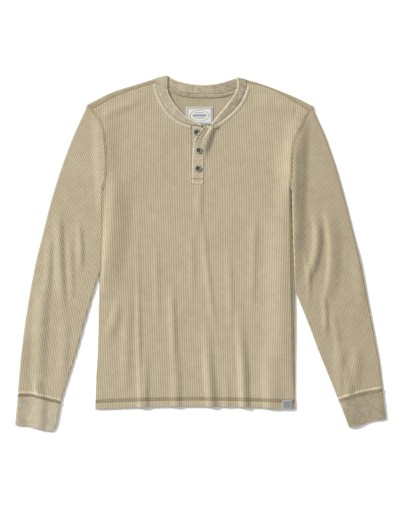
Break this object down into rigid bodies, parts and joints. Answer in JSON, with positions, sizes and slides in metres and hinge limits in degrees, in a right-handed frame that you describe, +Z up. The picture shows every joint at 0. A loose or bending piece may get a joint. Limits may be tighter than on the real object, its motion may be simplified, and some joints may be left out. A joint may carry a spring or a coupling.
{
  "type": "long-sleeved henley shirt",
  "caption": "Rib knit shirt laid flat: front and back panels, long set-in sleeves with plain cuffs, a doubled neckband and a short buttoned placket, open at neck, hem and cuffs.",
  "frame": {"origin": "on the surface that the shirt lies on, under the middle of the whole shirt's box", "axes": "+X across the shirt from the viewer's left sleeve to the right one, +Y from the hem to the neck, +Z up from the surface"},
  "size_m": [0.7986, 0.7658, 0.0082],
  "materials": {
    "rib_knit": "washed cotton rib knit, matte, with paler rib crests and worn edges",
    "jersey": "washed cotton jersey, matte and fine",
    "button": "smoky grey resin with a paler worn rim, softly glossy",
    "neck_label": "woven cream label with a plain blue-violet border, no lettering",
    "hem_tab": "plain woven grey tab"
  },
  "bodies": {
    "root": {"back_panel": "rib_knit", "front_panel": "rib_knit", "sleeve_left": "rib_knit", "sleeve_right": "rib_knit", "cuff_left": "jersey", "cuff_right": "jersey", "neckband": "jersey", "neck_tape": "jersey", "placket_underlap": "rib_knit", "placket_overlap": "rib_knit", "button_1": "button", "button_2": "button", "button_3": "button", "neck_label": "neck_label", "hem_tab": "hem_tab"}
  },
  "joints": []
}
